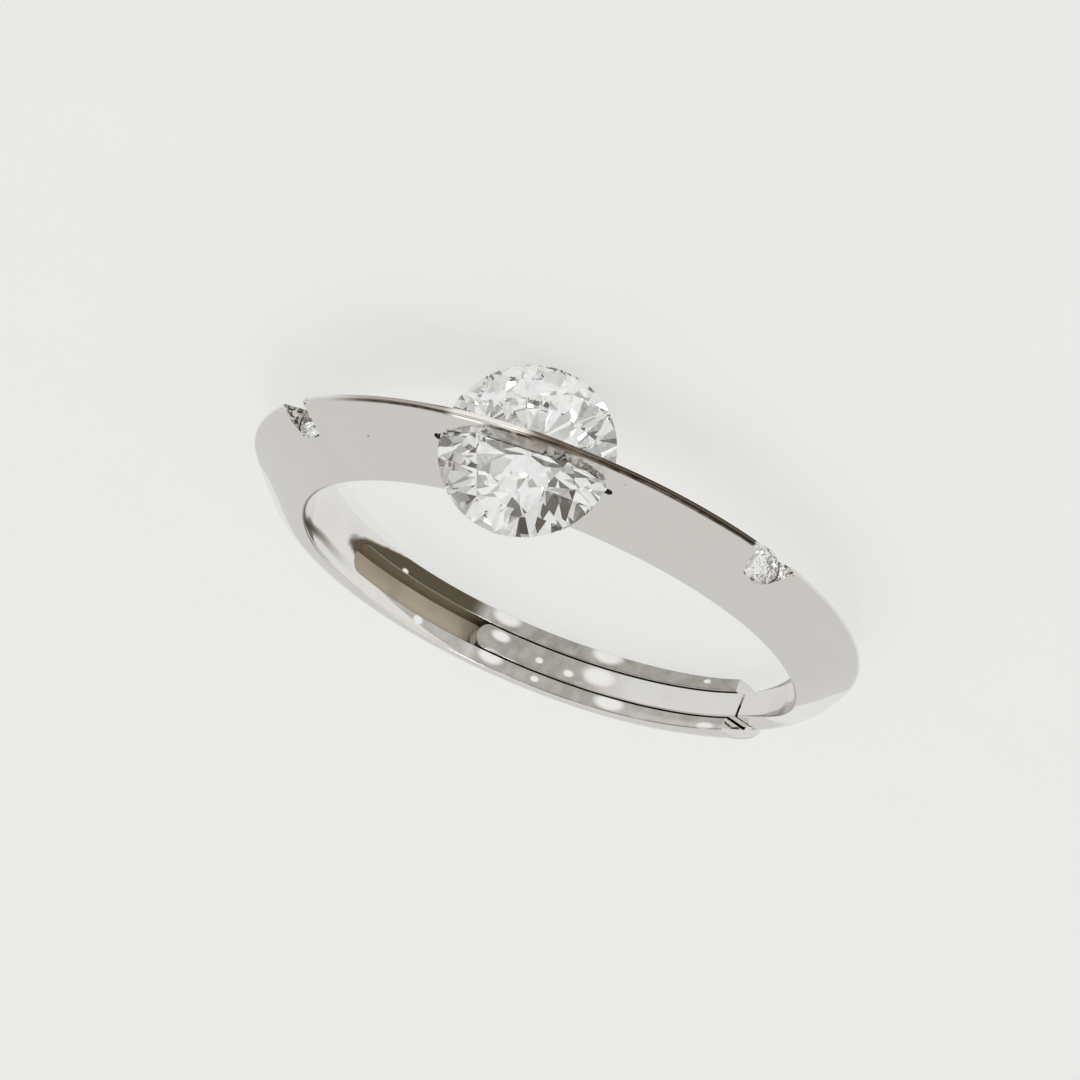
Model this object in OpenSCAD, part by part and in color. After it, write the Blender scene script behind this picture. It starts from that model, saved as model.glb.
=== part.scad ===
// Adjustable knife-edge ring, lying on its side, in millimetres.
// In the ring's own frame the finger axis is Z, the head points along -Y,
// and an angle t is counted round the axis from the head toward +X.

/* [Knife-edge band] */
// Radius of the finger hole
finger_r = 8.25; // [8:0.05:8.6]
// Half of the band's width at the finger hole
band_half = 1.02; // [0.95:0.01:1.15]
// Height of the ridge over the finger hole at the head
head_rise = 3.6; // [3.5:0.05:4]
// How far the ridge's circle is moved toward the head
ridge_offset = 1.8; // [1.6:0.05:2]
// Half of the narrow polished flat along the ridge
ridge_flat_half = 0.07; // [0.05:0.01:0.12]
// Least height of the ridge over the finger hole on the arms
arm_rise = 1.2; // [1.1:0.05:1.3]

/* [Sleeve and tongue] */
// Half of the sleeve's width
sleeve_half = 1.02; // [0.95:0.01:1.15]
// Half of the sleeve's width at its mouth
mouth_half = 0.96; // [0.9:0.01:1]
// Height of the sleeve's upright sides
shoulder_rise = 0.7; // [0.5:0.05:0.9]
// Height of the sleeve's rounded back over the finger hole
sleeve_rise = 1.65; // [1.6:0.05:1.8]
// Half of the sleeve's narrow back
sleeve_back_half = 0.4; // [0.3:0.05:0.5]
// Angle from the head at which the channel begins
channel_start = 115; // [110:1:120]
// Angle from the head of the sleeve's mouth
mouth_angle = 222; // [213:3:222]
// Angle from the head of the tongue's tip
tip_angle = 154; // [145:1:165]
// Half of the tongue's width
tongue_half = 0.44; // [0.4:0.01:0.46]
// Thickness of the tongue
tongue_t = 0.9; // [0.7:0.05:0.95]
// Clearance between the tongue and the channel's walls
tongue_gap = 0.05; // [0.04:0.01:0.08]

/* [Centre stone] */
// Diameter of the centre stone
stone_d = 5.2; // [5:0.05:5.3]
// Height of its girdle over the finger hole
stone_rise = 2.15; // [2.15:0.05:2.3]
// How far the stone leans toward one side of the band
stone_lean = 6; // [0:1:8]
// Thickness of the ridge bar that crosses the stone
bar_t = 0.62; // [0.5:0.02:0.65]
// Half of the window's length
window_half = 2.45; // [2.3:0.05:2.5]

/* [Side stones] */
// Diameter of a side stone
side_d = 1.15; // [1:0.05:1.3]
// Angle from the head of the side stone on the sleeve's side
left_angle = 45; // [41:0.5:49]
// Angle from the head of the side stone on the tongue's side
right_angle = 43.5; // [41:0.5:49]
// How far a side stone leans toward the head
side_lean = 12; // [0:1:15]
// Depth of a side stone's girdle under the ridge
side_depth = 1.05; // [0.9:0.05:1.2]
// How much wider the notch is at the ridge than at the stone, on each side
side_flare = 0.15; // [0:0.05:0.25]
// Radius of the hole drilled under a side stone
side_hole_r = 0.3; // [0.2:0.05:0.35]

/* [Hidden] */

metal = "silver";
gem = "aliceblue";

// A small overlap that lets cutters run past the faces that they cut
past = 0.6;
// Gap between a stone and its seat
seat_gap = 0.03;

// The ridge's circle and the least radius of the arms
ridge_circle_r = finger_r + head_rise - ridge_offset;
arm_r = finger_r + arm_rise;

// Angle from the head up to which the ridge keeps to its circle, and the softness of its turn into the arm
circle_end = 60;
arm_blend = 0.2;
// How far up the flank, as a part of its height, a section has a point of its own
flank_part = 0.45;

// The sleeve, its channel and the tongue
shoulder_r = finger_r + shoulder_rise;
sleeve_r = finger_r + sleeve_rise;
tongue_r = finger_r + tongue_t;
channel_half = tongue_half + tongue_gap;
channel_r = tongue_r + tongue_gap;
// The right arm ends as a bar just outside the mouth, from which the tongue runs on a hair narrower
bar_step = 0.02;
bar_half = tongue_half + bar_step;
bar_bevel = 0.2;
tongue_bevel = 0.1;
mouth_gap = 2;
arm_end = mouth_angle + mouth_gap - 360;
// Angles between which the left arm grows into the sleeve, and the right arm narrows to the bar
grow = [68, 102];
narrow = [95, 135];
// Angle from which the sleeve tapers to its mouth
taper_start = 183;
// Angle between two sections of the metal, and between the two sections that make a step
step = 3;
small_step = 0.15;
// The channel's end is half a circle, cut at these angles round it
round_cuts = [40, 60, 90];
round_end = channel_start + channel_half / finger_r * 180 / PI;
// Where the metal has no channel: the half widths and the depth of a hair-fine hollow
hollow_half = 0.1;
hollow_edge = 0.2;
hollow_t = 0.01;

// Proportions of a round brilliant, each size as a part of its diameter
table_part = 0.57;
star_part = 0.78;
lower_part = 0.24;
girdle_part = 0.016;
culet_part = 0.03;
crown_angle = 33;
pavilion_angle = 39.5;

// The centre stone's place
stone_r = stone_d / 2;
seat_r = finger_r + stone_rise;
// Radius of the hole under the stone that lets light in
azure_r = 0.6;

// The ring lies on the girdle of its stone and on the sleeve's edge
girdle_low = -girdle_part * stone_d / 2;
rest_girdle_r = seat_r + stone_r * sin(stone_lean) + girdle_low * cos(stone_lean);
rest_girdle_z = stone_r * cos(stone_lean) - girdle_low * sin(stone_lean);
rest_tilt = atan((rest_girdle_z - sleeve_half) / (rest_girdle_r + shoulder_r));
rest_lift = shoulder_r * sin(rest_tilt) + sleeve_half * cos(rest_tilt);
head_y = -(finger_r + head_rise) * cos(rest_tilt) - ridge_flat_half * sin(rest_tilt);
back_y = sleeve_r * cos(rest_tilt) + sleeve_back_half * sin(rest_tilt);
rest_y = -(head_y + back_y) / 2;

function mix(a, b, s) = a + (b - a) * s;
function smooth(x, ends) =
    let (u = min(1, max(0, (x - ends[0]) / (ends[1] - ends[0])))) u * u * (3 - 2 * u);
function soft_max(a, b) = (a + b + sqrt(pow(a - b, 2) + pow(arm_blend, 2))) / 2;

// Radius of the ridge from the finger axis: a circle moved toward the head
function ridge_r(t) =
    ridge_offset * cos(t) + sqrt(pow(ridge_circle_r, 2) - pow(ridge_offset * sin(t), 2));

// Outer half sections as [distance from the middle plane, radius]: the edge at the finger, a shoulder, the top
function knife(t) =
    let (edge = [band_half, finger_r],
         top = [ridge_flat_half, abs(t) < circle_end ? ridge_r(t) : soft_max(ridge_r(t), arm_r)])
    [edge, mix(edge, top, flank_part), top];
function sleeve(t) =
    let (half = mix(sleeve_half, mouth_half, smooth(t, [taper_start, mouth_angle])))
    [[half, finger_r], [half, shoulder_r], [sleeve_back_half, sleeve_r]];
function block(half, r, bevel) = [[half, finger_r], [half, r - bevel], [half - bevel, r]];
function arm(t) =
    t >= 0 ? mix(knife(t), sleeve(t), smooth(t, grow))
           : mix(knife(t), block(bar_half, arm_r, bar_bevel), smooth(-t, narrow));

// Inner half sections: plain metal, or the channel at a half width
plain = [[hollow_half, finger_r + hollow_t], [hollow_edge, finger_r]];
function channel(half) = [[half, channel_r], [half, finger_r]];

// A whole section at an angle, from the middle of the inside round the outside and back
function place(p, t) = [p[1] * sin(t), -p[1] * cos(t), p[0]];
function section(inner, outer, t) =
    let (half = concat(inner, outer))
    concat([for (p = half) place(p, t)],
        [for (i = [len(half) - 1:-1:0]) place([-half[i][0], half[i][1]], t)]);

// Sections from the tongue's tip over the head to the sleeve's mouth
tongue_sections = [for (t = [tip_angle - 360:step:arm_end - small_step])
    section(plain, block(tongue_half, tongue_r, tongue_bevel), t)];
tongue_root = [section(plain, block(tongue_half, tongue_r, tongue_bevel), arm_end - small_step)];
arm_sections = [for (t = [arm_end, each [step * ceil(arm_end / step):step:channel_start - 1], channel_start])
    section(plain, arm(t), t)];
round_sections = [for (a = concat(asin(hollow_edge / channel_half), round_cuts))
    let (t = small_step + mix(channel_start, round_end, 1 - cos(a)))
    section(channel(channel_half * sin(a)), arm(t), t)];
sleeve_sections = [for (t = [step * ceil(round_end / step + small_step):step:mouth_angle])
    section(channel(channel_half), arm(t), t)];
metal_sections = concat(tongue_sections, tongue_root, arm_sections, round_sections, sleeve_sections);

// Solid swept through the sections
module swept(sections) {
    n = len(sections[0]);
    last = (len(sections) - 1) * n;
    sides = [for (a = [0:n:last - n], j = [0:n - 1], k = [0, 1])
        let (p = a + j, q = a + (j + 1) % n) k == 0 ? [q + n, q, p] : [p + n, q + n, p]];
    // An end is its two lips, its two shoulders and the web between them
    cap = [[1, 2, 3, 0], [0, 3, 4], [0, 4, 5, 9], [9, 5, 6], [9, 6, 7, 8]];
    ends = [for (c = cap, k = [0, 1])
        k == 0 ? c : [for (i = [len(c) - 1:-1:0]) c[i] + last]];
    polyhedron(points = [for (s = sections, p = s) p], faces = concat(sides, ends), convexity = 10);
}

// Puts a stone's own frame, with its table up, at radius r and angle t
module on_ring(r, t) {
    rotate([0, 0, t]) translate([0, -r, 0]) rotate([90, 0, 0]) children();
}

// Round brilliant with its girdle's middle at the origin
module brilliant(d) {
    r = d / 2;
    g = girdle_part * r;
    rt = table_part * r;
    rs = star_part * r;
    rl = lower_part * r;
    rc = culet_part * r;
    crown_slope = tan(crown_angle);
    pavilion_slope = tan(pavilion_angle);
    // Heights that keep each kite-shaped facet flat
    table_z = g + (r - rt) * crown_slope;
    star_z = g + (r - rs * cos(22.5)) * crown_slope;
    lower_z = -g - (r - rl * cos(22.5)) * pavilion_slope;
    culet_z = -g - (r - rc) * pavilion_slope;
    points = concat(
        [for (k = [0:7]) [rt * cos(45 * k), rt * sin(45 * k), table_z]],
        [for (k = [0:7]) [rs * cos(45 * k + 22.5), rs * sin(45 * k + 22.5), star_z]],
        [for (k = [0:15]) [r * cos(22.5 * k), r * sin(22.5 * k), g]],
        [for (k = [0:15]) [r * cos(22.5 * k), r * sin(22.5 * k), -g]],
        [for (k = [0:7]) [rl * cos(45 * k + 22.5), rl * sin(45 * k + 22.5), lower_z]],
        [for (k = [0:7]) [rc * cos(45 * k), rc * sin(45 * k), culet_z]]);
    // First index of the table, star, upper girdle, lower girdle, lower and culet points
    t = 0;
    s = 8;
    u = 16;
    w = 32;
    l = 48;
    c = 56;
    facets = concat(
        [[for (k = [7:-1:0]) t + k]],
        [for (k = [0:7]) [t + k, t + (k + 1) % 8, s + k]],
        [for (k = [0:7]) [t + k, s + k, u + 2 * k]],
        [for (k = [0:7]) [t + k, u + 2 * k, s + (k + 7) % 8]],
        [for (k = [0:7]) [s + k, u + 2 * k + 1, u + 2 * k]],
        [for (k = [0:7]) [s + k, u + (2 * k + 2) % 16, u + 2 * k + 1]],
        [for (k = [0:15]) [u + k, u + (k + 1) % 16, w + (k + 1) % 16]],
        [for (k = [0:15]) [u + k, w + (k + 1) % 16, w + k]],
        [for (k = [0:7]) [w + 2 * k, w + 2 * k + 1, l + k]],
        [for (k = [0:7]) [w + 2 * k + 1, w + (2 * k + 2) % 16, l + k]],
        [for (k = [0:7]) [w + 2 * k, l + k, c + k]],
        [for (k = [0:7]) [w + 2 * k, c + k, l + (k + 7) % 8]],
        [for (k = [0:7]) [l + k, c + (k + 1) % 8, c + k]],
        [[for (k = [0:7]) c + k]]);
    polyhedron(points = points, faces = facets, convexity = 2);
}

// Round cutter that follows a brilliant at the seat's gap
module seat(d) {
    r = d / 2 + seat_gap;
    g = girdle_part * d / 2 + seat_gap;
    rt = table_part * d / 2 + seat_gap;
    rotate_extrude($fn = 96)
        polygon([[0, -g - r * tan(pavilion_angle)], [r, -g], [r, g], [rt, g + (r - rt) * tan(crown_angle)],
            [0, g + (r - rt) * tan(crown_angle)]]);
}

// The window under the ridge bar, the centre stone's seat and the hole beneath it
module centre_cuts() {
    translate([0, 0, -2 * band_half])
        linear_extrude(4 * band_half)
            intersection() {
                translate([0, -ridge_offset]) circle(r = ridge_circle_r - bar_t, $fn = 180);
                translate([-window_half, -seat_r - head_rise]) square([2 * window_half, head_rise]);
            }
    on_ring(seat_r, 0) rotate([-stone_lean, 0, 0]) seat(stone_d);
    on_ring(finger_r - past, 0) cylinder(h = stone_rise, r = azure_r, $fn = 48);
}

// Puts a side stone's own frame at its angle from the head, which is negative on the tongue's side
module on_side(t) {
    on_ring(ridge_r(t) - side_depth, t) rotate([0, -sign(t) * side_lean, 0]) children();
}

// The notch across the ridge, the seat and the drilled hole of a side stone
module side_cuts(t) {
    notch_r = side_d / 2 + seat_gap;
    hole_depth = ridge_r(t) - side_depth - finger_r + past;
    on_side(t) {
        seat(side_d);
        cylinder(h = 2 * side_depth, r1 = notch_r, r2 = notch_r + 2 * side_flare, $fn = 48);
        translate([0, 0, -hole_depth]) cylinder(h = hole_depth, r = side_hole_r, $fn = 32);
    }
}

module ring_metal() {
    difference() {
        swept(metal_sections);
        centre_cuts();
        side_cuts(left_angle);
        side_cuts(-right_angle);
    }
}

// Lays the ring on its side, on the girdle of its stone and on the sleeve's edge
module laid() {
    translate([0, rest_y, rest_lift]) rotate([-rest_tilt, 0, 0]) children();
}

module band() {
    color(metal) laid() ring_metal();
}

module centre_stone() {
    color(gem) laid() on_ring(seat_r, 0) rotate([-stone_lean, 0, 0]) brilliant(stone_d);
}

module side_stone(t) {
    color(gem) laid() on_side(t) brilliant(side_d);
}

module side_stone_left() {
    side_stone(left_angle);
}

module side_stone_right() {
    side_stone(-right_angle);
}

band();
centre_stone();
side_stone_left();
side_stone_right();
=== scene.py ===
import math

import bmesh
import bpy
import numpy as np
from mathutils import Matrix, Vector


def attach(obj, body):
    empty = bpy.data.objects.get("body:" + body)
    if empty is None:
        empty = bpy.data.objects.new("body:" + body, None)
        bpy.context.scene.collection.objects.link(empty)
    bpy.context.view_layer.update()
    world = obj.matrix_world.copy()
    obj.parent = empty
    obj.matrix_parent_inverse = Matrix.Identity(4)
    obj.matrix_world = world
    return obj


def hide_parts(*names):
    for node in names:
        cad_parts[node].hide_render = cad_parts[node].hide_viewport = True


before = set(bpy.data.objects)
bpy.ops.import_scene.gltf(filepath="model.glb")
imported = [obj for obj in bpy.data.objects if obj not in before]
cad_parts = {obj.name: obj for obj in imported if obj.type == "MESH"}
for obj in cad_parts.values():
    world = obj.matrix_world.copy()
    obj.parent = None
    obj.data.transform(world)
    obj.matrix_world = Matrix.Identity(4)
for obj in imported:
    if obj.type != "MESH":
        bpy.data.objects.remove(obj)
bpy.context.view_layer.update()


# The band
# One piece of polished white precious metal: a knife-edge head whose ridge is highest over the
# centre stone, and two arms. It is cast, filed and polished, and all other pieces sit in it.

# Sizes are in millimetres, in the ring's own frame: the finger axis is Z, the head points along
# -Y, and an angle t is counted in degrees round the axis from the head toward +X
finger_r = 8.25
band_half = 1.02
head_rise = 3.6
ridge_offset = 1.8
ridge_half = 0.08
ridge_extra = 0.035
ridge_extra_at = 3
ridge_extra_ends = (4, 14)
arm_rise = 1.2
arm_r = finger_r + arm_rise
ridge_circle_r = finger_r + head_rise - ridge_offset
arm_blend = 0.2
flank_part = 0.45

shoulder_r = finger_r + 0.7
sleeve_r = finger_r + 1.65
sleeve_half = 1.02
mouth_half = 0.96
sleeve_back_half = 0.4
grow = (68, 102)
narrow = (95, 135)
taper_start = 183
mouth_angle = 222
mouth_soft = 0.06
bar_end = -136
bar_half = 0.46

# How far from each corner of the section its rounding begins, the most of an edge that it takes, and
# the steps in which each rounding, the hoop and its soft end are drawn
edge_soft = 0.08
shoulder_soft = 0.5
ridge_soft = 0.13
bar_soft = 0.2
most_rounded = 0.45
section_steps = 9
hoop_steps = 430
end_steps = 7

# How the ring lies on its side: leaning on the girdle of its stone and on the sleeve's edge
rest_tilt = math.radians(4.5846)
rest_y = 0.9587
rest_lift = 1.7321
MM = 0.001
lie = (Matrix.Scale(MM, 4) @ Matrix.Translation((0, rest_y, rest_lift))
       @ Matrix.Rotation(-rest_tilt, 4, "X"))


def mix(a, b, part):
    """Goes from a to b while the part goes from 0 to 1."""
    return a + (b - a) * part


def smooth(x, ends):
    """Goes softly from 0 to 1 while x goes from the first end to the second."""
    u = min(1.0, max(0.0, (x - ends[0]) / (ends[1] - ends[0])))
    return u * u * (3 - 2 * u)


def ridge_r(t):
    """The ridge's radius at t: an off-centre circle over the head that runs softly into the arms."""
    a = math.radians(t)
    r = ridge_offset * math.cos(a) + math.sqrt(ridge_circle_r ** 2 - (ridge_offset * math.sin(a)) ** 2)
    return (r + arm_r + math.sqrt((r - arm_r) ** 2 + arm_blend ** 2)) / 2


def band_corners(t, inset=0.0):
    """Half of the section at t: the corners (z, r, softness) at the finger, the shoulder and the top."""
    top = ridge_r(t)
    flat_half = ridge_half + ridge_extra * (1 - smooth(abs(t - ridge_extra_at), ridge_extra_ends))
    on_flank = [mix(band_half, ridge_half, flank_part), mix(finger_r, top, flank_part), shoulder_soft]
    knife = np.array([[band_half, finger_r, edge_soft], on_flank, [flat_half, top, ridge_soft]])
    if t >= 0:
        half = mix(sleeve_half, mouth_half, smooth(t, (taper_start, mouth_angle)))
        sleeve = np.array([[half, finger_r, edge_soft],
                           [half, shoulder_r, shoulder_soft],
                           [sleeve_back_half, sleeve_r, shoulder_soft]])
        corners = mix(knife, sleeve, smooth(t, grow))
    else:
        bar = np.array([[bar_half, finger_r, edge_soft],
                        [bar_half, arm_r - bar_soft, bar_soft],
                        [bar_half - bar_soft, arm_r, bar_soft]])
        corners = mix(knife, bar, smooth(-t, narrow))
    corners[:, 0] -= inset
    corners[:, 1] += (inset, -inset, -inset)
    return corners


def soft_section(corners):
    """Closes half a section by mirroring it, and rounds each corner over its softness."""
    loop = [(z, r, s) for z, r, s in corners] + [(-z, r, s) for z, r, s in reversed(corners)]
    out = []
    for i, (z, r, s) in enumerate(loop):
        here = np.array([z, r])
        ends = []
        for other in (loop[i - 1], loop[(i + 1) % len(loop)]):
            way = np.array(other[:2]) - here
            length = np.linalg.norm(way)
            ends.append(here + way / length * min(s, most_rounded * length))
        for u in np.linspace(0, 1, section_steps):
            out.append((1 - u) ** 2 * ends[0] + 2 * u * (1 - u) * here + u ** 2 * ends[1])
    return out


def on_hoop(r, t, z):
    """The point at radius r, angle t and height z."""
    a = math.radians(t)
    return r * math.sin(a), -r * math.cos(a), z


def join_rings(bm, rings):
    """Faces between each ring of points and the next one."""
    for low, high in zip(rings, rings[1:]):
        for i in range(len(low)):
            j = (i + 1) % len(low)
            bm.faces.new((low[i], low[j], high[j], high[i]))


def sweep(name, sections):
    """A closed solid through soft sections, each given as its angle and its corners."""
    bm = bmesh.new()
    rings = [[bm.verts.new(on_hoop(r, t, z)) for z, r in soft_section(corners)]
             for t, corners in sections]
    join_rings(bm, rings)
    bm.faces.new(list(reversed(rings[0])))
    bm.faces.new(rings[-1])
    bmesh.ops.recalc_face_normals(bm, faces=bm.faces[:])
    mesh = bpy.data.meshes.new(name)
    bm.to_mesh(mesh)
    bm.free()
    piece = bpy.data.objects.new(name, mesh)
    bpy.context.scene.collection.objects.link(piece)
    return piece


soft_end = math.degrees(mouth_soft / finger_r)
hoop_turns = np.linspace(bar_end, mouth_angle - soft_end, hoop_steps)
sections = [(t, band_corners(t)) for t in hoop_turns]
for a in np.linspace(0, math.pi / 2, end_steps)[1:]:
    t = mouth_angle - soft_end * (1 - math.sin(a))
    sections.append((t, band_corners(t, mouth_soft * (1 - math.cos(a)))))
band = sweep("knife_edge_band", sections)


# The cut-outs of the band
# The window is sawn through under the ridge, each stone has a seat turned to its own shape with a
# drilled hole beneath it, and the small stones' seats open through a flared notch in the ridge. The
# channel on the finger side is milled with a round cutter, so its end is round.

bar_t = 0.66
bar_extra = 0.16
bar_extra_from = (0.7, 2.2)
bar_steps = 25
window_half = 2.5
window_corner = (0.9, 0.5)
window_corner_steps = 9
stone_d = 5.2
stone_lean = math.radians(6)
seat_r = finger_r + 2.15
seat_hole_r = 0.6
side_d = 1.15
side_depth = 1.05
side_lean = math.radians(12)
side_angles = {"left": 45.0, "right": -43.5}
side_flares = {"left": 0.03, "right": 0.15}
side_hole_r = 0.3
seat_gap = 0.03
past = 0.6
table_part = 0.57
girdle_part = 0.024
crown_slope = math.tan(math.radians(33))
pavilion_slope = math.tan(math.radians(39.5))
channel_start = 115
channel_half = 0.49
channel_r = finger_r + 0.95
channel_past_mouth = 4
channel_steps = 110
round_end_steps = 33
floor_soft = 0.06
floor_bevel = 0.02
lip_soft = 0.05
lip_steps = 5

# A small pocket drilled at each end of the window gives the large stone's girdle room
pocket_r = 0.13
pocket_sides = 32
pocket_places = [(2.64, -10.30), (-2.64, -10.30)]


def on_ring(r, t):
    """The frame of a stone at radius r and angle t, with its table up and its x toward +t."""
    out = Matrix.Rotation(math.radians(t), 4, "Z") @ Matrix.Translation((0, -r, 0))
    return out @ Matrix.Rotation(math.pi / 2, 4, "X")


def on_side(t):
    """The frame of a small stone in its notch at angle t."""
    lean = Matrix.Rotation(-math.copysign(side_lean, t), 4, "Y")
    return on_ring(ridge_r(t) - side_depth, t) @ lean


def turned(profile, segments=128):
    """A closed solid turned about Z from a profile of (r, z) that starts and ends on the axis."""
    bm = bmesh.new()
    low = bm.verts.new((0, 0, profile[0][1]))
    high = bm.verts.new((0, 0, profile[-1][1]))
    rings = [[bm.verts.new((r * math.cos(a), r * math.sin(a), z))
              for a in np.linspace(0, 2 * math.pi, segments, endpoint=False)] for r, z in profile[1:-1]]
    for i in range(segments):
        j = (i + 1) % segments
        bm.faces.new((low, rings[0][j], rings[0][i]))
        bm.faces.new((high, rings[-1][i], rings[-1][j]))
        for a, b in zip(rings, rings[1:]):
            bm.faces.new((a[i], a[j], b[j], b[i]))
    return bm


def cut(piece, bm, place=Matrix.Identity(4)):
    """Cuts a solid out of the piece."""
    bmesh.ops.recalc_face_normals(bm, faces=bm.faces[:])
    mesh = bpy.data.meshes.new("cutter")
    bm.to_mesh(mesh)
    bm.free()
    mesh.transform(place)
    cutter = bpy.data.objects.new("cutter", mesh)
    bpy.context.scene.collection.objects.link(cutter)
    boolean = piece.modifiers.new("cut", "BOOLEAN")
    boolean.operation = "DIFFERENCE"
    boolean.solver = "EXACT"
    boolean.object = cutter
    bpy.context.view_layer.update()
    whole = piece.evaluated_get(bpy.context.evaluated_depsgraph_get())
    result = bpy.data.meshes.new_from_object(whole)
    piece.modifiers.clear()
    piece.data = result
    bpy.data.objects.remove(cutter)


def seat(d, hole_r, hole_depth, above):
    """A stone's seat with the drilled hole under it, closed above by the given (r, z) points."""
    r = d / 2 + seat_gap
    g = girdle_part * d / 2 + seat_gap
    hole_top = -g - (r - hole_r) * pavilion_slope
    return turned([(0, -hole_depth), (hole_r, -hole_depth), (hole_r, hole_top), (r, -g), (r, g)] + above)


def window():
    """The window's plan, with its top under the ridge bar and its two upper corners rounded."""
    r = ridge_circle_r - bar_t
    wide, high = window_corner
    flat = window_half - wide
    top = [(x, -ridge_offset - math.sqrt((r - bar_extra * smooth(x, bar_extra_from)) ** 2 - x ** 2))
           for x in np.linspace(flat, -flat, bar_steps)]
    corners = []
    for side, y in ((1, top[0][1]), (-1, top[-1][1])):
        corners.append([(side * (flat + wide * math.cos(a)), y + high * (1 - math.sin(a)))
                        for a in np.linspace(0, math.pi / 2, window_corner_steps)[:-1]])
    plan = [(-window_half, -seat_r), (window_half, -seat_r)] + corners[0] + top + corners[1][::-1]
    bm = bmesh.new()
    face = bm.faces.new([bm.verts.new((x, y, -2 * band_half)) for x, y in plan])
    made = bmesh.ops.extrude_face_region(bm, geom=[face])
    raised = [v for v in made["geom"] if isinstance(v, bmesh.types.BMVert)]
    bmesh.ops.translate(bm, vec=(0, 0, 4 * band_half), verts=raised)
    return bm


def channel():
    """The milled channel: a long slot with one round end, and softened lips on the finger side."""
    levels = [(channel_half - floor_soft, channel_r),
              (channel_half - floor_bevel, channel_r - floor_bevel),
              (channel_half, channel_r - floor_soft)]
    for a in np.linspace(0, math.pi / 2, lip_steps):
        levels.append((channel_half + lip_soft * (1 - math.cos(a)),
                       finger_r + lip_soft * (1 - math.sin(a))))
    levels.append((channel_half + lip_soft, finger_r - past))
    centre = channel_start + math.degrees(channel_half / finger_r)
    straight = np.linspace(mouth_angle + channel_past_mouth, centre, channel_steps)
    bm = bmesh.new()
    rows = []
    for half, r in levels:
        round_end = [(centre - math.degrees(half * math.sin(a) / finger_r), half * math.cos(a))
                     for a in np.linspace(0, math.pi, round_end_steps)[1:-1]]
        plan = [(t, half) for t in straight] + round_end + [(t, -half) for t in straight[::-1]]
        rows.append([bm.verts.new(on_hoop(r, t, z)) for t, z in plan])
    join_rings(bm, rows)
    for row in (rows[0], rows[-1]):
        middle = len(row) // 2
        for i in range(middle - 1):
            bm.faces.new((row[i], row[i + 1], row[-2 - i], row[-1 - i]))
        if len(row) % 2:
            bm.faces.new((row[middle - 1], row[middle], row[middle + 1]))
    return bm


cut(band, channel())
cut(band, window())
centre_place = on_ring(seat_r, 0) @ Matrix.Rotation(-stone_lean, 4, "X")
crown_top = (stone_d / 2) * (1 - table_part) * crown_slope + 2 * seat_gap
crown_room = [(table_part * stone_d / 2, crown_top), (0, crown_top)]
cut(band, seat(stone_d, seat_hole_r, seat_r - finger_r + past, crown_room), centre_place)
through = 2 * band_half
for x, y in pocket_places:
    drill = [(0, -through), (pocket_r, -through), (pocket_r, through), (0, through)]
    cut(band, turned(drill, pocket_sides), Matrix.Translation((x, y, 0)))
for side, t in side_angles.items():
    flare = side_d / 2 + seat_gap + 2 * side_flares[side]
    hole_depth = ridge_r(t) - side_depth - finger_r + past
    notch_room = [(flare, 2 * side_depth), (0, 2 * side_depth)]
    cut(band, seat(side_d, side_hole_r, hole_depth, notch_room), on_side(t))


# The tongue
# The right arm runs on past the sleeve's mouth as a narrow tongue of the same metal. It lies
# loose in the channel, so that the hoop can give a little, and its tip is filed round.

tongue_half = 0.44
tongue_inner_r = finger_r + 0.01
tongue_r = finger_r + 0.9
tongue_edge_soft = 0.06
tongue_back_soft = 0.05
tongue_bevel = 0.1
least_back = 0.3
tip_angle = 154
tip_length = math.degrees(tongue_half / tongue_r)
tip_blunt = 0.02
tip_steps = 12
tongue_steps = 64


def tongue_corners(t):
    """Half of the tongue's section at t, which narrows to a round end at the tip."""
    along = min(1.0, (t - tip_angle) / tip_length + tip_blunt)
    half = tongue_half * math.sqrt(1 - (1 - along) ** 2)
    return [(half, tongue_inner_r, tongue_edge_soft),
            (half, tongue_r - tongue_bevel, tongue_back_soft),
            (max(half - tongue_bevel, least_back * half), tongue_r, tongue_back_soft)]


tip = tip_angle + tip_length * (1 - np.cos(np.linspace(0, math.pi / 2, tip_steps)))
inside_arm = 360 + bar_end + 1
angles = np.concatenate([tip, np.linspace(tip[-1] + 1, inside_arm, tongue_steps)])
tongue = sweep("tongue", [(t, tongue_corners(t)) for t in angles])


# The beads
# At the head's end of each notch a small grain of metal is raised from the ridge and burnished
# against the stone, which keeps it from working loose.

bead_r = 0.1
bead_sunk = 0.07
bead_gap = 5.4
beads = bmesh.new()
for t in side_angles.values():
    at = t - math.copysign(bead_gap, t)
    bmesh.ops.create_uvsphere(beads, u_segments=24, v_segments=12, radius=bead_r,
                              matrix=on_ring(ridge_r(at) - bead_sunk, at))


# The finished metal
# Band, tongue and beads are one piece of metal. Its outside is mirror-polished, and the finger side has
# fine hairlines and smears, with painted dark reflection and painted highlights inside the sleeve. The
# channel, the seats and the holes keep a dull, darker skin that no polishing wheel reaches, partly
# painted shade, and the notches' walls are a mottle of painted highlight and painted shade.

metal = bmesh.new()
metal.from_mesh(band.data)
metal.from_mesh(tongue.data)
spare = bpy.data.meshes.new("beads")
beads.to_mesh(spare)
metal.from_mesh(spare)
beads.free()
bpy.data.objects.remove(tongue)

OUTSIDE, FINGER_SIDE, RECESS, NOTCH_WALL = range(4)

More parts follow.
